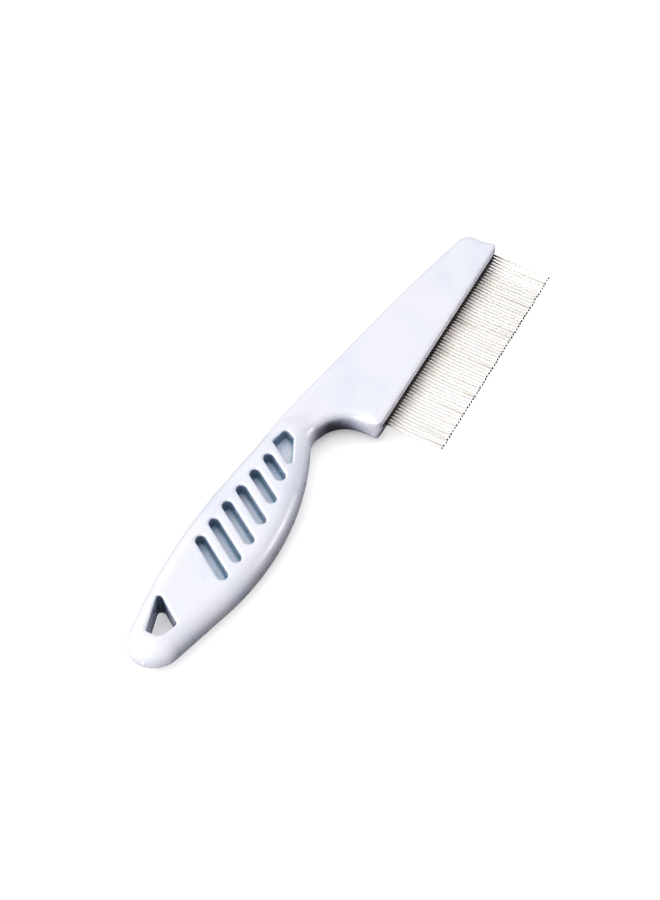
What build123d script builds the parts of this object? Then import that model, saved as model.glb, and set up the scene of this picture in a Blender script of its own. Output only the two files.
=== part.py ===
from build123d import *
import os

# Flea comb, lying flat on its grip. Millimetres, +Z up.
# +X runs from the tail of the grip to the far end of the head, and the pins point to -Y.
# The origin is under the middle of the comb, on the surface that it lies on.
#
# Shapes are drawn in the comb's own layout: x = 0 at the first pin, y = 0 at the front edge
# of the head, where the pins come out, and z = 0 at half thickness.

# ---- driving dimensions ---------------------------------------------------------------
PIN_COUNT = 62
PINS_PER_NODE = 2
PIN_PITCH = 1.15
PIN_DIAMETER = 0.65
PIN_REACH = 18.35            # free length in front of the head
PIN_TIP_ROUND = 0.22         # softened end of each pin

OVERALL_LENGTH = 170.6
OVERALL_WIDTH = 49.3
GRIP_THICKNESS = 12.0
GRIP_ROUND = 4.6             # rounded sides of the grip
GRIP_FLAT_BACK = 170.0       # radius of the grip's upper side, seen from above
GRIP_BELLY = 79.0            # radius of its lower side
TAIL_LOW = 9.0
TAIL_HIGH = 5.6
NECK_BEND = 7.0
NOSE = 5.6
HEAD_THICKNESS = 9.2
HEAD_LENGTH = 75.2
HEAD_MARGIN = 1.05           # head past the first pin
HEAD_ROUND = 2.8             # rounded spine, far end and finger rest of the head
HEAD_CORNER = 4.5            # far end of the spine, seen from above
FINGER_RADIUS = 9.5          # finger rest, seen from above
FRONT_ROUND = 0.9            # all round the head's front face
END_WALL = 2.25              # head left past the carrier at the finger rest

CARRIER_HEIGHT = 2.2
CARRIER_DEPTH = 6.0
CARRIER_SETBACK = 0.5        # carrier behind the front edge of the head
CARRIER_END_INSET = 0.4      # carrier behind the far end of the head
CARRIER_END_ROUND = 0.8

RECESS_DEPTH = 4.8           # blind recesses, the same on both faces
RECESS_CORNER = 0.9
RECESS_EDGE = 0.45           # softened rim of the recesses and the hanging hole
SLOT_WIDTH = 3.1
SLOT_ANGLE = 58.6            # lean of the slots against the row of pins, degrees
HOLE_CORNER = 1.0            # corners of the hanging hole, seen from above
HOLE_TAIL_ROUND = 2.8        # its rounder corner, nearest the tail

# ---- worked out from them --------------------------------------------------------------
grip_half = GRIP_THICKNESS / 2
head_half = HEAD_THICKNESS / 2
tail_x = HEAD_MARGIN - OVERALL_LENGTH
low_x = HEAD_MARGIN - HEAD_LENGTH
row_length = (PIN_COUNT - 1) * PIN_PITCH
carrier_half = CARRIER_HEIGHT / 2
slot_back = CARRIER_SETBACK + CARRIER_DEPTH
carrier_far_x = HEAD_MARGIN - CARRIER_END_INSET
carrier_low_x = low_x + END_WALL
SLOT_OVERRUN = 3.0           # the carrier's slot is cut this far past the far end and the front
slot_length = HEAD_MARGIN + SLOT_OVERRUN - carrier_low_x
slot_depth = slot_back + SLOT_OVERRUN

# Layout plane at half thickness, placed so that the finished comb is centred on the origin.
layout_x = OVERALL_LENGTH / 2 - HEAD_MARGIN
layout_y = PIN_REACH - OVERALL_WIDTH / 2
middle = Plane(origin=(layout_x, layout_y, grip_half))
# Upright planes across the pins, at their roots and at their tips. Local y is up.
root_point = (layout_x, layout_y + CARRIER_SETBACK, grip_half)
tip_point = (layout_x, layout_y - PIN_REACH, grip_half)
root_face = Plane(origin=root_point, x_dir=(1, 0, 0), z_dir=(0, -1, 0))
tip_face = Plane(origin=tip_point, x_dir=(1, 0, 0), z_dir=(0, -1, 0))
NEAR = 0.01                  # tolerance for picking edges by position

# Outline of the grip: corners of its polygon, each with the radius that rounds it.
grip_corners = [
    ((-75.8, 25.6), NOSE),
    ((-85.0, 16.2), NECK_BEND),
    ((-116.1, 0.9), GRIP_BELLY),
    ((tail_x, 15.36), TAIL_LOW),
    ((tail_x, 27.2), TAIL_HIGH),
    ((-135.4, 32.55), GRIP_FLAT_BACK),
]

# Outline of the head, the same way. Its inner end is hidden in the grip.
SPINE_BEND = 600.0
NECK_SPINE_BEND = 150.0
inner_end_x = -92.0
head_corners = [
    ((HEAD_MARGIN, 0.0), 0.0),
    ((HEAD_MARGIN, 10.9), HEAD_CORNER),
    ((-29.3, 17.5), SPINE_BEND),
    ((-83.0, 26.4), NECK_SPINE_BEND),
    ((inner_end_x, 27.0), 0.0),
    ((inner_end_x, 19.2), 0.0),
    ((-75.6, 12.3), FINGER_RADIUS),
    ((low_x, 0.0), 0.0),
]

# Recesses in the grip's faces: middle and length of each slot, then the neck recess.
slots = [
    ((-101.6, 18.7), 9.8),
    ((-108.6, 18.3), 12.4),
    ((-115.4, 18.2), 14.2),
    ((-122.1, 18.4), 15.5),
    ((-128.7, 18.7), 15.7),
    ((-135.2, 19.1), 15.6),
]
neck_recess = [(-94.1, 23.5), (-99.4, 15.0), (-90.2, 19.0), (-89.1, 22.2)]
hanging_hole = [
    ((-150.6, 25.5), HOLE_CORNER),
    ((-162.8, 23.1), HOLE_CORNER),
    ((-162.6, 19.0), HOLE_TAIL_ROUND),
    ((-157.0, 17.0), HOLE_CORNER),
]

os.makedirs("parts", exist_ok=True)


def level(shapes, height):
    """The edges that lie wholly at one height above or below half thickness."""
    return shapes.filter_by_position(Axis.Z, grip_half + height - NEAR, grip_half + height + NEAR)


def at_front(shapes):
    """The edges that lie wholly in the front face of the head."""
    return shapes.filter_by_position(Axis.Y, layout_y - NEAR, layout_y + NEAR)


def near(sketch, point):
    """The sketch's vertex closest to a layout point."""
    return sketch.vertices().sort_by_distance(point)[0]


# ---- grip: almond outline with rounded sides ----------------------------------------------
with BuildPart() as grip:
    with BuildSketch(middle.offset(-grip_half)) as almond:
        with BuildLine():
            Polyline(*[point for point, _ in grip_corners], close=True)
        make_face()
        for point, radius in grip_corners:
            fillet(near(almond, point), radius)
    extrude(amount=GRIP_THICKNESS)
    fillet(level(edges(), grip_half) + level(edges(), -grip_half), GRIP_ROUND)

# ---- head: flat wedge, square along the pins and rounded everywhere else ------------------
with BuildPart() as head:
    with BuildSketch(middle.offset(-head_half)) as wedge:
        with BuildLine():
            Polyline(*[point for point, _ in head_corners], close=True)
        make_face()
        for point, radius in head_corners:
            if radius > 0:
                fillet(near(wedge, point), radius)
    extrude(amount=HEAD_THICKNESS)
    outline = level(edges(), head_half) + level(edges(), -head_half)
    hidden_x = layout_x + inner_end_x
    hidden = outline.filter_by_position(Axis.X, hidden_x - NEAR, hidden_x + NEAR)
    fillet(outline - at_front(outline) - hidden, HEAD_ROUND)
    # The front face's edges run into each other smoothly, so one of them brings the rest.
    fillet(at_front(level(edges(), head_half)), FRONT_ROUND)

# ---- handle: grip and head in one moulding ------------------------------------------------
with BuildPart() as handle:
    add(grip.part)
    add(head.part)

    # Blind recesses, cut from both faces to leave a web at half thickness.
    for face_height, into in ((grip_half, -1), (-grip_half, 1)):
        with BuildSketch(middle.offset(face_height)) as pockets:
            for centre, length in slots:
                with Locations(Location(centre, SLOT_ANGLE)):
                    SlotOverall(length, SLOT_WIDTH)
            with BuildLine():
                Polyline(*neck_recess, close=True)
            make_face()
            for point in neck_recess:
                fillet(near(pockets, point), RECESS_CORNER)
        extrude(amount=into * RECESS_DEPTH, mode=Mode.SUBTRACT)

    # Hanging hole through the tail.
    with BuildSketch(middle.offset(-grip_half)) as hole:
        with BuildLine():
            Polyline(*[point for point, _ in hanging_hole], close=True)
        make_face()
        for point, radius in hanging_hole:
            fillet(near(hole, point), radius)
    extrude(amount=GRIP_THICKNESS, mode=Mode.SUBTRACT)

    # Softened rims of the recesses and the hanging hole.
    faces_by_height = faces().filter_by(Axis.Z).sort_by(Axis.Z)
    for grip_face in (faces_by_height[0], faces_by_height[-1]):
        openings = ShapeList()
        for wire in grip_face.inner_wires():
            openings += wire.edges()
        fillet(openings, RECESS_EDGE)

    # Slot along the front of the head, open at the far end, which holds the pin carrier.
    with BuildSketch(middle.offset(-carrier_half)):
        with Locations((carrier_low_x, slot_back)):
            Rectangle(slot_length, slot_depth, align=(Align.MIN, Align.MAX))
    extrude(amount=CARRIER_HEIGHT, mode=Mode.SUBTRACT)

handle.part.label = "handle"
export_step(handle.part, "parts/handle.step")

# ---- pin carrier: bar in the head's slot, drilled for the pins -----------------------------
with BuildPart() as pin_carrier:
    with BuildSketch(middle.offset(-carrier_half)) as bar:
        with BuildLine():
            Polyline(
                (carrier_far_x, CARRIER_SETBACK), (carrier_far_x, slot_back),
                (carrier_low_x, slot_back), (carrier_low_x, CARRIER_SETBACK), close=True,
            )
        make_face()
        fillet(near(bar, (carrier_low_x, CARRIER_SETBACK)), CARRIER_END_ROUND)
        fillet(near(bar, (carrier_far_x, CARRIER_SETBACK)), CARRIER_END_ROUND)
    extrude(amount=CARRIER_HEIGHT)
    with BuildSketch(root_face):
        with Locations((-row_length / 2, 0)):
            with GridLocations(PIN_PITCH, 1, PIN_COUNT, 1):
                Circle(PIN_DIAMETER / 2)
    extrude(amount=-CARRIER_DEPTH, mode=Mode.SUBTRACT)

pin_carrier.part.label = "pin_carrier"
export_step(pin_carrier.part, "parts/pin_carrier.step")

# ---- steel pins: straight wire with softened ends, two to a node ---------------------------
for pair in range(PIN_COUNT // PINS_PER_NODE):
    first_x = -pair * PINS_PER_NODE * PIN_PITCH
    with BuildPart() as pins:
        with BuildSketch(tip_face):
            with Locations((first_x - PIN_PITCH / 2, 0)):
                with GridLocations(PIN_PITCH, 1, PINS_PER_NODE, 1):
                    Circle(PIN_DIAMETER / 2)
        extrude(amount=-(PIN_REACH + slot_back))
        tips = edges().filter_by(GeomType.CIRCLE).group_by(Axis.Y)[0]
        fillet(tips, PIN_TIP_ROUND)
    name = f"pin_pair_{pair + 1:02d}"
    pins.part.label = name
    export_step(pins.part, f"parts/{name}.step")
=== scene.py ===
import math

import bpy
import numpy as np
import openvdb
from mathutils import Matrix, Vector


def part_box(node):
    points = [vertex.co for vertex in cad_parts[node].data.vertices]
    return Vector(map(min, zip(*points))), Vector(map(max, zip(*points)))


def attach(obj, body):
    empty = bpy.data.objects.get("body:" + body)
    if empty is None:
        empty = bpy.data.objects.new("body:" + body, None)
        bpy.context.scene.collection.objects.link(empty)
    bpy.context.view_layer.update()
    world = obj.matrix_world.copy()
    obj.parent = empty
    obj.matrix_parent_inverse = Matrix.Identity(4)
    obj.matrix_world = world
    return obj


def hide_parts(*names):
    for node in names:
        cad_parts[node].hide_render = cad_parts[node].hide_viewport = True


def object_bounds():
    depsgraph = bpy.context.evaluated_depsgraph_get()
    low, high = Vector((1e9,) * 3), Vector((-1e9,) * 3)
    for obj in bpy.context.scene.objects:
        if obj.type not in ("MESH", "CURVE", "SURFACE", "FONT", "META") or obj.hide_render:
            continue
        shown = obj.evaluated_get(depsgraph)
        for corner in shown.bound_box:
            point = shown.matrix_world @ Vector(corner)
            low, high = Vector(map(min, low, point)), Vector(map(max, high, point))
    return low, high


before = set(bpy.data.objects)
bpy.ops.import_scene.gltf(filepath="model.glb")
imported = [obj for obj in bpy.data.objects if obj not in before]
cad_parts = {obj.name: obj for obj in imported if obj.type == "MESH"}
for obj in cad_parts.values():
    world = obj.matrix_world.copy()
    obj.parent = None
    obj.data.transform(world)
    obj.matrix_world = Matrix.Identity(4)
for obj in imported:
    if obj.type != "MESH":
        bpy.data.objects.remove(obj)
cad_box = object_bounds()

# ---- units and layout --------------------------------------------------------------------
# Shapes are drawn in millimetres in the comb's own layout: x = 0 at the first pin, y = 0 at the
# front edge of the head, z = 0 at half thickness. The frame says where that layout lies.
MM = 0.001
PIN_PAIRS = sorted(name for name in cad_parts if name.startswith("pin_pair_"))

handle_low, handle_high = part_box("handle")
pair_low, pair_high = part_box(PIN_PAIRS[0])
PIN_RADIUS = (pair_high.z - pair_low.z) / 2 / MM
origin = Vector((pair_high.x - PIN_RADIUS * MM, handle_low.y, (handle_low.z + handle_high.z) / 2))
TAIL_X = (handle_low.x - origin.x) / MM
FAR_X = (handle_high.x - origin.x) / MM
SPINE_Y = (handle_high.y - origin.y) / MM
GRIP_HALF = (handle_high.z - handle_low.z) / 2 / MM


# ---- distance functions: negative inside, in millimetres ------------------------------------
def corner_arc(before, corner, after, radius):
    """The arc that rounds a corner: start, end, centre, way to the corner, half angle, convex or not."""
    u = (before - corner) / np.linalg.norm(before - corner)
    v = (after - corner) / np.linalg.norm(after - corner)
    half = math.acos(float(u @ v)) / 2
    bisector = (u + v) / np.linalg.norm(u + v)
    reach = radius / math.tan(half)
    start = corner + u * reach
    end = corner + v * reach
    centre = corner + bisector * radius / math.sin(half)
    convex = u[0] * v[1] - u[1] * v[0] < 0
    return start, end, centre, -bisector, half, convex


def outline(corners, x, y):
    """Distance to a closed outline: corners anticlockwise, each with the radius that rounds it."""
    points = [np.array(point, float) for point, _ in corners]
    count = len(points)
    arcs = [
        corner_arc(points[i - 1], points[i], points[(i + 1) % count], corners[i][1])
        for i in range(count)
    ]
    nearest = np.full(np.broadcast(x, y).shape, np.inf)
    for i in range(count):
        start, end = arcs[i - 1][1], arcs[i][0]
        run = end - start
        along = np.clip(((x - start[0]) * run[0] + (y - start[1]) * run[1]) / (run @ run), 0, 1)
        away = np.hypot(x - start[0] - along * run[0], y - start[1] - along * run[1])
        left = run[0] * (y - start[1]) - run[1] * (x - start[0])
        value = np.where(left > 0, -away, away)
        nearest = np.where(np.abs(value) < np.abs(nearest), value, nearest)

        _, _, centre, outward, half, convex = arcs[i]
        radius = corners[i][1]
        reach = np.hypot(x - centre[0], y - centre[1])
        facing = (x - centre[0]) * outward[0] + (y - centre[1]) * outward[1]
        value = (reach - radius) * (1 if convex else -1)
        within = facing >= reach * math.sin(half)
        nearest = np.where(within & (np.abs(value) < np.abs(nearest)), value, nearest)
    return nearest


def both(a, b, radius):
    """Where two solids overlap, with the edge between them rounded."""
    inside = np.minimum(np.maximum(a, b), -radius)
    return inside + np.hypot(np.maximum(a + radius, 0), np.maximum(b + radius, 0))


def join(a, b, radius):
    """Two solids as one, with a fillet where they meet."""
    return -both(-a, -b, radius)


def cut(solid, hollow, radius):
    """A solid less a hollow, with a rounded rim."""
    return both(solid, -hollow, radius)


def ease(value, start, end):
    """From 0 at the start to 1 at the end, level at both."""
    share = np.clip((value - start) / (end - start), 0, 1)
    return share * share * (3 - 2 * share)


def slot_outline(centre, length, x, y):
    """Distance to a slot with full-round ends, leaning at the slots' angle."""
    lean = math.radians(SLOT_ANGLE)
    u = (x - centre[0]) * math.cos(lean) + (y - centre[1]) * math.sin(lean)
    v = (y - centre[1]) * math.cos(lean) - (x - centre[0]) * math.sin(lean)
    straight = (length - SLOT_WIDTH) / 2
    return np.hypot(np.maximum(np.abs(u) - straight, 0), v) - SLOT_WIDTH / 2


# ---- handle: one moulding --------------------------------------------------------------------
GRIP_ROUND = 5.3             # sides of the grip, nearly a full round
NOSE_DROP = 1.0              # the grip thins by this much, each face, as it runs out over the head
NOSE_FROM = -98.0
NOSE_TO = -78.0
HEAD_HALF = 4.6
HEAD_ROUND = 2.8
HEAD_INTO_FRONT = 6.0        # the head's outline runs on past the front face, which trims it
RIDGE = 2.2                  # fillet where the grip runs out over the head, dying out at the spine
RIDGE_END_Y = 26.5
RIDGE_FADE = 7.0
RIDGE_LEAST = 0.05           # share of the fillet left past its end
LIP_ROUND = 0.8              # front edge above the pins
CHIN_ROUND = 1.6             # and below them
FRONT_CORNER = 1.3           # upright corners at both ends of the front face
FRONT_FADE = 5.0             # the head's edges sharpen over this much as they near the front
CHIN_DRAFT = math.tan(math.radians(7.0))
LIP_DRAFT = math.tan(math.radians(1.5))
SLOT_WIDTH = 3.1
SLOT_ANGLE = 58.6
WEB_HALF = 1.2               # half of the web between two facing recesses
RECESS_DRAFT = math.tan(math.radians(2.0))
HOLE_DRAFT = math.tan(math.radians(7.0))  # lower half of the hanging hole
RECESS_FLOOR_ROUND = 0.7
RECESS_RIM = 0.8
CARRIER_SLOT_HALF = 1.1
CARRIER_SLOT_BACK = 6.5
CARRIER_SLOT_LOW_X = -71.9   # the slot is closed at the finger rest
CARRIER_SLOT_RIM = 0.25
FLASH_HEIGHT = 0.05          # parting line at half thickness
FLASH_WIDTH = 0.5
SHADE_FROM_DEPTH = 3.0      # painted blue-grey shade on the moulding starts from this depth down
SHADE_MARGIN = 0.2     # the painted shade reaches this far past an opening's outline
LEVEL_LESS_SHADE = 0.9         # level floors take this much less of the painted shade than upright walls
HOLE_LESS_SHADE_X = -152.5         # but the hanging hole's thin walls take less painted shade, past its narrow end
HOLE_LESS_SHADE_FADE = 2.0

GRIP_CORNERS = [
    ((-75.8, 25.6), 5.6),
    ((-135.4, 32.55), 170.0),
    ((TAIL_X, 27.2), 5.6),
    ((TAIL_X, 15.36), 9.0),
    ((-116.1, 0.9), 79.0),
    ((-85.0, 16.2), 7.0),
]
HEAD_CORNERS = [
    ((FAR_X, -HEAD_INTO_FRONT), 1.0),
    ((FAR_X, 10.9), 4.5),
    ((-29.3, 17.5), 600.0),
    ((-83.0, 26.6), 150.0),
    ((-93.0, 27.5), 1.0),
    ((-93.0, 19.2), 1.0),
    ((-75.6, 12.3), 9.5),
    ((-73.44, -HEAD_INTO_FRONT), 1.0),
]
SLOTS = [
    ((-101.6, 18.7), 9.8),
    ((-108.6, 18.3), 12.4),
    ((-115.4, 18.2), 14.2),
    ((-122.1, 18.4), 15.5),
    ((-128.7, 18.7), 15.7),
    ((-135.2, 19.1), 15.6),
]
NECK_RECESS = [
    ((-94.1, 23.8), 0.9),
    ((-100.3, 13.9), 0.9),
    ((-90.2, 18.9), 0.9),
    ((-88.8, 22.3), 0.9),
]
HANGING_HOLE = [
    ((-150.6, 26.5), 0.9),
    ((-162.9, 23.1), 0.8),
    ((-162.7, 18.6), 3.0),
    ((-157.0, 16.65), 0.9),
]
GATE = (-169.2, 20.1)        # where the moulding's feed was nipped off, at half thickness
GATE_ROUND = 0.75


def recess_outline(x, y):
    """Distance to the blind recesses: the one at the neck, and the slots."""
    nearest = outline(NECK_RECESS, x, y)
    for centre, length in SLOTS:
        nearest = np.minimum(nearest, slot_outline(centre, length, x, y))
    return nearest


def handle_distance(x, y, z):
    """Distance to the handle. x, y and z broadcast against each other."""
    height = np.abs(z)

    almond = outline(GRIP_CORNERS, x, y)
    drop = NOSE_DROP * ease(x, NOSE_FROM, NOSE_TO)
    grip = both(almond, height - GRIP_HALF + drop, GRIP_ROUND - drop)

    front = -y + np.maximum(z, 0) * LIP_DRAFT - np.minimum(z, 0) * CHIN_DRAFT
    wedge = both(outline(HEAD_CORNERS, x, y), front, FRONT_CORNER)
    front_round = np.where(z > 0, LIP_ROUND, CHIN_ROUND)
    edge_round = front_round + (HEAD_ROUND - front_round) * ease(y, 0, FRONT_FADE)
    head = both(wedge, height - HEAD_HALF, edge_round)

    solid = join(grip, head, RIDGE * np.clip((RIDGE_END_Y - y) / RIDGE_FADE, RIDGE_LEAST, 1))
    solid = np.maximum(solid, height - GRIP_HALF)
    # The parting line starts behind the carrier's slot.
    flash = FLASH_HEIGHT * np.exp(-((z / FLASH_WIDTH) ** 2))
    solid = solid - flash * np.clip(y / CARRIER_SLOT_BACK - 1, 0, 1)
    gate = np.sqrt((x - GATE[0]) ** 2 + (y - GATE[1]) ** 2 + z**2) - GATE_ROUND
    solid = np.minimum(solid, gate)
    # Nothing stands out past the CAD box.
    solid = np.maximum(solid, np.maximum(TAIL_X - x, np.maximum(x - FAR_X, y - SPINE_Y)))

    drafted = recess_outline(x, y) + (GRIP_HALF - height) * RECESS_DRAFT
    solid = cut(solid, both(drafted, WEB_HALF - height, RECESS_FLOOR_ROUND), RECESS_RIM)

    narrowing = (GRIP_HALF - np.maximum(z, 0)) * RECESS_DRAFT + np.minimum(z, 0) * HOLE_DRAFT
    solid = cut(solid, outline(HANGING_HOLE, x, y) + narrowing, RECESS_RIM)
    slot = np.maximum(height - CARRIER_SLOT_HALF, y - CARRIER_SLOT_BACK)
    slot = np.maximum(slot, CARRIER_SLOT_LOW_X - x)
    return cut(solid, slot, CARRIER_SLOT_RIM)


def recess_painted_shade(x, y, z):
    """Painted shade for the walls of the recesses and the hanging hole: 0 at the rim to 1 deep down, less
    past the hole's narrow end.
    """
    opening = np.minimum(recess_outline(x, y), outline(HANGING_HOLE, x, y))
    sunk = np.clip((GRIP_HALF - np.abs(z)) / SHADE_FROM_DEPTH, 0, 1)
    depth = np.where(opening < SHADE_MARGIN, sunk, 0.0)
    pale = np.clip(1 - (HOLE_LESS_SHADE_X - x) / HOLE_LESS_SHADE_FADE, 0, 1)
    return depth * np.where(x < HOLE_LESS_SHADE_X, pale, 1)


MARGIN_VOXELS = 4            # room left round the handle
BAND_VOXELS = 3              # distances are kept up to this many voxels from the surface
SETTLE_PASSES = 3            # moves of the mesh's points onto the exact surface
LEAST_SLOPE_SQUARED = 0.25   # keeps a point from a long move where the distance is nearly level
NEARLY_ZERO = 1e-6
SLOPE_STEP = 0.01


def surface_slope(points):
    """The handle's distance at each point, and its gradient."""
    step = SLOPE_STEP
    x, y, z = points.T
    value = handle_distance(x, y, z)
    gradient = np.stack(
        [
            handle_distance(x + step, y, z) - handle_distance(x - step, y, z),
            handle_distance(x, y + step, z) - handle_distance(x, y - step, z),
            handle_distance(x, y, z + step) - handle_distance(x, y, z - step),
        ],
        axis=1,
    )
    return value, gradient / (2 * step)


def handle_mesh(voxel, adaptivity):
    """The handle's surface as a mesh, with its points moved onto the exact surface."""
    margin = MARGIN_VOXELS * voxel
    low = (np.array(handle_low) - np.array(origin)) / MM - margin
    high = (np.array(handle_high) - np.array(origin)) / MM + margin
    x, y, z = (np.arange(a, b, voxel) for a, b in zip(low, high))
    field = handle_distance(x[:, None, None], y[None, :, None], z[None, None, :])
    band = BAND_VOXELS * voxel
    grid = openvdb.FloatGrid(band)
    grid.copyFromArray(np.clip(field, -band, band).astype(np.float32))
    grid.transform = openvdb.createLinearTransform(voxel)
    points, triangles, quads = grid.convertToPolygons(0.0, adaptivity)
    points = points.astype(float) + low
    for _ in range(SETTLE_PASSES):
        value, gradient = surface_slope(points)
        points -= gradient * (value / np.maximum((gradient**2).sum(1), LEAST_SLOPE_SQUARED))[:, None]
    _, gradient = surface_slope(points)
    normals = gradient / np.maximum(np.linalg.norm(gradient, axis=1), NEARLY_ZERO)[:, None]

    mesh = bpy.data.meshes.new("handle_moulding")
    faces = triangles.tolist() + quads.tolist()
    mesh.from_pydata((points * MM + np.array(origin)).tolist(), [], faces)
    mesh.polygons.foreach_set("use_smooth", [True] * len(faces))
    mesh.update()
    mesh.normals_split_custom_set_from_vertices(normals.tolist())
    # Painted shade: walls of the recesses and the hanging hole are tinted blue-grey, more the deeper and
    # the more upright they are.
    recess_shade = mesh.attributes.new("recess_shade", "FLOAT", "POINT")
    wall = 1 - LEVEL_LESS_SHADE * normals[:, 2] ** 2
    recess_shade.data.foreach_set("value", (recess_painted_shade(*points.T) * wall).astype(np.float32))
    return mesh


def add_piece(name, mesh, material, nodes):
    """A new piece that rides on the comb's one body and stands for CAD nodes."""
    piece = bpy.data.objects.new(name, mesh)
    bpy.context.scene.collection.objects.link(piece)
    mesh.materials.append(material)
    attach(piece, "root")
    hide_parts(*nodes)
    return piece


# ---- pins: straight wire, each very slightly its own -------------------------------------------
PIN_SIDES = 14
PIN_TIP_SOFT = 0.24          # softened end, painted near-black as a dark reflection
PIN_TIP_FADE = 0.25
PIN_TIP_CLEAR = 1.0          # a ring this far back keeps the rest of the pin free of the painted dark
PIN_TIP_STEPS = 4
TIP_SHORT = 0.22             # most that a pin falls short of the longest
TIP_SWAY = 0.09              # most that a tip stands off its line


def pin_rings(low_y, high_y):
    """Stations along a pin as (y, share of the radius, painted dark or not), from the hidden end to the
    pointed end.
    """
    straight_end = low_y + PIN_TIP_SOFT
    rings = [(high_y, 0.0, 0), (high_y, 1.0, 0), (0.5 * (high_y + low_y), 1.0, 0)]
    rings.append((straight_end + PIN_TIP_CLEAR, 1.0, 0))
    rings.append((straight_end + PIN_TIP_FADE, 1.0, 0))
    flat = 1 - PIN_TIP_SOFT / PIN_RADIUS
    for i in range(PIN_TIP_STEPS + 1):
        turn = i / PIN_TIP_STEPS * math.pi / 2
        share = flat + (1 - flat) * math.cos(turn)
        rings.append((straight_end - PIN_TIP_SOFT * math.sin(turn), share, 1))
    rings.append((low_y, 0.0, 1))
    return rings


def pin_pair_mesh(name, draw):
    """The two pins of a CAD node."""
    low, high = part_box(name)
    low = (np.array(low) - np.array(origin)) / MM
    high = (np.array(high) - np.array(origin)) / MM
    points, faces, dark = [], [], []
    for middle_x in (low[0] + PIN_RADIUS, high[0] - PIN_RADIUS):
        tip_y = low[1] + draw.uniform(0, TIP_SHORT)
        sway = draw.uniform(-TIP_SWAY, TIP_SWAY, 2)
        first = len(points)
        for y, share, end in pin_rings(tip_y, high[1]):
            reach = max(0.0, y / tip_y) ** 2
            dark += [float(end)] * PIN_SIDES
            for side in range(PIN_SIDES):
                turn = 2 * math.pi * side / PIN_SIDES
                points.append((
                    middle_x + sway[0] * reach + PIN_RADIUS * share * math.cos(turn),
                    y,
                    sway[1] * reach + PIN_RADIUS * share * math.sin(turn),
                ))
        rings = (len(points) - first) // PIN_SIDES
        for ring in range(rings - 1):
            for side in range(PIN_SIDES):
                a = first + ring * PIN_SIDES + side
                b = first + ring * PIN_SIDES + (side + 1) % PIN_SIDES
                faces.append((a, b, b + PIN_SIDES, a + PIN_SIDES))
    mesh = bpy.data.meshes.new(name + "_wire")
    mesh.from_pydata([Vector(p) * MM + origin for p in points], [], faces)
    painted_dark_tip = mesh.attributes.new("painted_dark_tip", "FLOAT", "POINT")
    painted_dark_tip.data.foreach_set("value", dark)
    mesh.validate()
    mesh.polygons.foreach_set("use_smooth", [True] * len(mesh.polygons))
    mesh.update()
    return mesh


# ---- materials -----------------------------------------------------------------------------------
# Scales are in repeats per metre, bump depths in metres.
NOISE_LOW = 0.3              # most of a noise pattern lies between these two
NOISE_HIGH = 0.7
CLOUD_SCALE = 60.0
GLOSS_SCALE = 240.0
SINK_SCALE = 70.0            # broad, shallow sink marks
SINK_DEPTH = 0.0001
PEEL_SCALE = 900.0           # fine unevenness of the moulded skin
PEEL_DEPTH = 0.000012
PLASTIC_IOR = 1.53
# blue-grey painted shade for the recess walls
RECESS_PAINTED_SHADE = (0.47, 0.57, 0.63, 1)
MATTE_TINT_SCALE = 800.0
MATTE_GRAIN_SCALE = 1500.0
PIN_STREAKS = (1, 0.06, 1)   # patterns on the pins run along them
STREAK_SCALE = 420.0
PIN_GLOSS_SCALE = 500.0
# near-black painted reflection for the pins' cut ends
TIP_PAINTED_DARK = (0.03, 0.04, 0.05, 1)


def new_material(name):
    """A material, with its nodes, its links and its main shader."""
    material = bpy.data.materials.new(name)
    material.use_nodes = True
    nodes = material.node_tree.nodes
    shader = nodes["Principled BSDF"]
    return material, nodes, material.node_tree.links, shader


def noise(nodes, links, scale, detail=2.0, stretch=(1, 1, 1)):
    """A noise pattern. Each axis is first multiplied by its stretch: a small one draws the pattern out."""
    where = nodes.new("ShaderNodeTexCoord")
    squeezed = nodes.new("ShaderNodeVectorMath")
    squeezed.operation = "MULTIPLY"
    squeezed.inputs[1].default_value = stretch
    texture = nodes.new("ShaderNodeTexNoise")
    texture.inputs["Scale"].default_value = scale
    texture.inputs["Detail"].default_value = detail
    links.new(where.outputs["Object"], squeezed.inputs[0])
    links.new(squeezed.outputs["Vector"], texture.inputs["Vector"])
    return texture.outputs["Fac"]


def ramp(nodes, links, source, stops):
    """A colour ramp over a pattern, from (place, colour) stops."""
    made = nodes.new("ShaderNodeValToRGB")
    made.color_ramp.elements[0].position, made.color_ramp.elements[0].color = stops[0]
    made.color_ramp.elements[1].position, made.color_ramp.elements[1].color = stops[-1]
    for place, colour in stops[1:-1]:
        made.color_ramp.elements.new(place).color = colour
    links.new(source, made.inputs["Fac"])
    return made.outputs["Color"]


def spread(nodes, links, source, low, high):
    """A pattern stretched between two values."""
    made = nodes.new("ShaderNodeMapRange")
    made.inputs["From Min"].default_value = NOISE_LOW
    made.inputs["From Max"].default_value = NOISE_HIGH
    made.inputs["To Min"].default_value = low
    made.inputs["To Max"].default_value = high
    links.new(source, made.inputs["Value"])
    return made.outputs["Result"]


def bump(nodes, links, source, depth, below=None):
    """A bump of that depth in metres, on top of another."""
    made = nodes.new("ShaderNodeBump")
    made.inputs["Distance"].default_value = depth
    links.new(source, made.inputs["Height"])
    if below is not None:
        links.new(below, made.inputs["Normal"])
    return made.outputs["Normal"]


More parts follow.
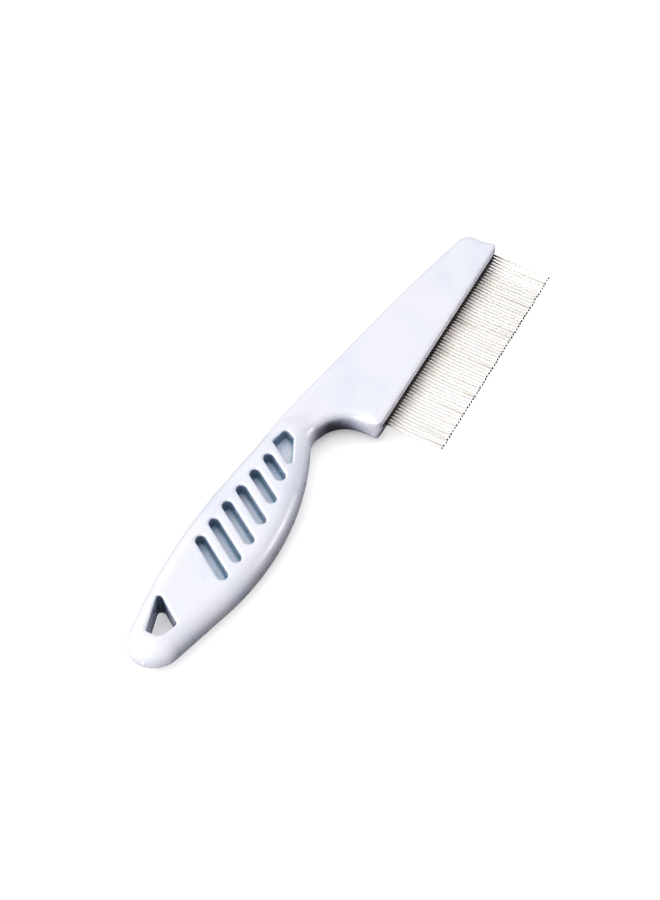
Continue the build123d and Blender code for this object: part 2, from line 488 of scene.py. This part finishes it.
def gloss_plastic():
    """White moulding, with blue-grey shade painted on its recess walls."""
    material, nodes, links, shader = new_material("white_gloss_plastic")
    clouds = noise(nodes, links, CLOUD_SCALE)
    tint = ramp(nodes, links, clouds, [
        (0.30, (0.73, 0.75, 0.84, 1)),
        (0.50, (0.79, 0.80, 0.87, 1)),
        (0.70, (0.83, 0.81, 0.87, 1)),
    ])
    # Painted shade: the base colour is mixed towards blue-grey down the recess walls.
    depth = nodes.new("ShaderNodeAttribute")
    depth.attribute_name = "recess_shade"
    deep = nodes.new("ShaderNodeMix")
    deep.data_type = "RGBA"
    deep.inputs["B"].default_value = RECESS_PAINTED_SHADE
    links.new(depth.outputs["Fac"], deep.inputs["Factor"])
    links.new(tint, deep.inputs["A"])
    links.new(deep.outputs["Result"], shader.inputs["Base Color"])
    gloss = noise(nodes, links, GLOSS_SCALE)
    links.new(spread(nodes, links, gloss, 0.24, 0.36), shader.inputs["Roughness"])
    sink = bump(nodes, links, noise(nodes, links, SINK_SCALE), SINK_DEPTH)
    peel = bump(nodes, links, noise(nodes, links, PEEL_SCALE), PEEL_DEPTH, sink)
    links.new(peel, shader.inputs["Normal"])
    shader.inputs["IOR"].default_value = PLASTIC_IOR
    return material


def shaded_carrier_plastic():
    """Bar that holds the pins, coloured dark grey as painted shade for the slot it sits in."""
    material, nodes, links, shader = new_material("carrier_painted_shade_plastic")
    tint = ramp(nodes, links, noise(nodes, links, MATTE_TINT_SCALE), [
        (0.35, (0.20, 0.20, 0.23, 1)),
        (0.65, (0.30, 0.30, 0.33, 1)),
    ])
    links.new(tint, shader.inputs["Base Color"])
    grain = noise(nodes, links, MATTE_GRAIN_SCALE)
    links.new(spread(nodes, links, grain, 0.5, 0.7), shader.inputs["Roughness"])
    return material


def pin_steel():
    """Polished wire, streaked along its length, with a dark reflection painted on its cut ends."""
    material, nodes, links, shader = new_material("polished_pin_steel")
    tint = ramp(nodes, links, noise(nodes, links, STREAK_SCALE, stretch=PIN_STREAKS), [
        (0.32, (0.56, 0.55, 0.51, 1)),
        (0.44, (0.88, 0.85, 0.76, 1)),
        (0.58, (0.90, 0.83, 0.79, 1)),
        (0.70, (0.96, 0.94, 0.87, 1)),
    ])
    # Painted reflection: the cut ends are mixed towards near-black.
    painted_dark_tip = nodes.new("ShaderNodeAttribute")
    painted_dark_tip.attribute_name = "painted_dark_tip"
    ends = nodes.new("ShaderNodeMix")
    ends.data_type = "RGBA"
    ends.inputs["B"].default_value = TIP_PAINTED_DARK
    links.new(painted_dark_tip.outputs["Fac"], ends.inputs["Factor"])
    links.new(tint, ends.inputs["A"])
    links.new(ends.outputs["Result"], shader.inputs["Base Color"])
    gloss = noise(nodes, links, PIN_GLOSS_SCALE, stretch=PIN_STREAKS)
    links.new(spread(nodes, links, gloss, 0.22, 0.32), shader.inputs["Roughness"])
    shader.inputs["Metallic"].default_value = 1.0
    return material


# ---- build the comb ----------------------------------------------------------------------------
plastic = gloss_plastic()
steel = pin_steel()
VOXEL = 0.3
ADAPTIVITY = 0.02            # how far level areas are joined into larger faces
add_piece("handle_moulding", handle_mesh(VOXEL, ADAPTIVITY), plastic, ["handle"])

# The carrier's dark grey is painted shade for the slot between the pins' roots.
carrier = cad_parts["pin_carrier"]
carrier.data.materials.clear()
carrier.data.materials.append(shaded_carrier_plastic())

SEED = 7
draw = np.random.default_rng(SEED)
for pair in PIN_PAIRS:
    add_piece(pair + "_wire", pin_pair_mesh(pair, draw), steel, [pair])

# ---- floor, light and camera -------------------------------------------------------------------
centre = (cad_box[0] + cad_box[1]) / 2


def toward(azimuth, elevation):
    """Unit direction: azimuth in degrees anticlockwise from +X, elevation above the floor."""
    a, e = math.radians(azimuth), math.radians(elevation)
    return Vector((math.cos(a) * math.cos(e), math.sin(a) * math.cos(e), math.sin(e)))


LAMP_DISTANCE = 0.9
LAMP_SIZE = 0.25
SOFTBOXES = [                # name, azimuth, elevation, watts, colour
    ("fill_right", -60, 9, 3.0, (1.0, 0.99, 1.0)),
    ("fill_left", 174, 8, 7.0, (1.0, 0.99, 1.0)),
    ("fill_back", 95, 10, 1.6, (1.0, 1.0, 1.0)),
]


def add_softbox(name, azimuth, elevation, power, colour):
    """A square soft light that faces the comb."""
    lamp = bpy.data.lights.new(name, "AREA")
    lamp.size = LAMP_SIZE
    lamp.energy = power
    lamp.color = colour
    box = bpy.data.objects.new(name, lamp)
    bpy.context.scene.collection.objects.link(box)
    away = toward(azimuth, elevation)
    box.location = centre + away * LAMP_DISTANCE
    box.rotation_euler = away.to_track_quat("Z", "Y").to_euler()


FLOOR_HALF = 3.0
FLOOR_GLOW = 0.36
floor_mesh = bpy.data.meshes.new("floor")
floor_corners = [(a * FLOOR_HALF, b * FLOOR_HALF, 0) for a, b in ((-1, -1), (1, -1), (1, 1), (-1, 1))]
floor_mesh.from_pydata(floor_corners, [], [(0, 1, 2, 3)])
floor = bpy.data.objects.new("floor", floor_mesh)
bpy.context.scene.collection.objects.link(floor)
floor_material, _, _, floor_shader = new_material("pale_floor")
floor_shader.inputs["Base Color"].default_value = (0.95, 0.95, 0.95, 1)
floor_shader.inputs["Roughness"].default_value = 1.0
floor_shader.inputs["Specular IOR Level"].default_value = 0.0
floor_shader.inputs["Emission Color"].default_value = (1, 1, 1, 1)
floor_shader.inputs["Emission Strength"].default_value = FLOOR_GLOW
floor_mesh.materials.append(floor_material)
# The floor gives the comb no bounced light and no reflection.
floor.visible_diffuse = False
floor.visible_glossy = False
floor.location.z = cad_box[0].z

for name, azimuth, elevation, power, colour in SOFTBOXES:
    add_softbox(name, azimuth, elevation, power, colour)

SKY_AZIMUTH = 75
SKY_ELEVATION = 72
SKY_EDGE = 0.35              # the dome starts here, as the cosine from its middle
SKY_FULL = 0.95              # and is at its brightest from here
SKY_HIGH = 1.72
SKY_COLOUR = (0.98, 0.985, 1.0, 1)
STUDIO_EDGE = -0.6
STUDIO_LOW = 0.38
STUDIO_HIGH = 1.25


def sky_fade(nodes, links, direction, start, low, high):
    """Brightness over the sky, from low to high towards one direction."""
    where = nodes.new("ShaderNodeTexCoord")
    along = nodes.new("ShaderNodeVectorMath")
    along.operation = "DOT_PRODUCT"
    along.inputs[1].default_value = direction
    links.new(where.outputs["Generated"], along.inputs[0])
    fade = nodes.new("ShaderNodeMapRange")
    fade.interpolation_type = "SMOOTHSTEP"
    fade.inputs["From Min"].default_value = start
    fade.inputs["From Max"].default_value = SKY_FULL
    fade.inputs["To Min"].default_value = low
    fade.inputs["To Max"].default_value = high
    links.new(along.outputs["Value"], fade.inputs["Value"])
    return fade.outputs["Result"]


def sky():
    """A soft dome of light high up behind the comb. Reflections see a paler studio all round."""
    world = bpy.data.worlds.new("studio")
    world.use_nodes = True
    nodes, links = world.node_tree.nodes, world.node_tree.links
    dome = sky_fade(nodes, links, toward(SKY_AZIMUTH, SKY_ELEVATION), SKY_EDGE, 0.0, SKY_HIGH)
    studio = sky_fade(nodes, links, Vector((0, 0, 1)), STUDIO_EDGE, STUDIO_LOW, STUDIO_HIGH)
    path = nodes.new("ShaderNodeLightPath")
    choose = nodes.new("ShaderNodeMix")
    links.new(path.outputs["Is Glossy Ray"], choose.inputs["Factor"])
    links.new(dome, choose.inputs["A"])
    links.new(studio, choose.inputs["B"])
    links.new(choose.outputs["Result"], nodes["Background"].inputs["Strength"])
    nodes["Background"].inputs["Color"].default_value = SKY_COLOUR
    bpy.context.scene.world = world


sky()

TONE_POINTS = ((0.17, 0.045), (0.35, 0.22), (0.60, 0.57))
ALL_CHANNELS = 3             # place of the curve that bends red, green and blue together
DIFFUSE_BOUNCES = 3


def tone():
    """Hard contrast: whites kept, shadows pressed down."""
    settings = bpy.context.scene.view_settings
    settings.view_transform = "Standard"
    settings.use_curve_mapping = True
    curve = settings.curve_mapping.curves[ALL_CHANNELS]
    for light, shown in TONE_POINTS:
        curve.points.new(light, shown)
    settings.curve_mapping.update()


tone()
bpy.context.scene.cycles.diffuse_bounces = DIFFUSE_BOUNCES

CAMERA_AZIMUTH = -151.08
CAMERA_ELEVATION = 56.71
CAMERA_DISTANCE = 0.568
CAMERA_LENS = 80
SENSOR_HEIGHT = 36
AIM_X = -0.0017              # from the middle of the comb to the point looked at, in metres
AIM_Y = 0.0033

camera_data = bpy.data.cameras.new("camera")
camera_data.sensor_fit = "VERTICAL"
camera_data.sensor_height = SENSOR_HEIGHT
camera_data.lens = CAMERA_LENS
camera = bpy.data.objects.new("camera", camera_data)
bpy.context.scene.collection.objects.link(camera)
look_at = Vector((centre.x + AIM_X, centre.y + AIM_Y, centre.z))
back = toward(CAMERA_AZIMUTH, CAMERA_ELEVATION)
camera.location = look_at + back * CAMERA_DISTANCE
camera.rotation_euler = back.to_track_quat("Z", "Y").to_euler()
bpy.context.scene.camera = camera
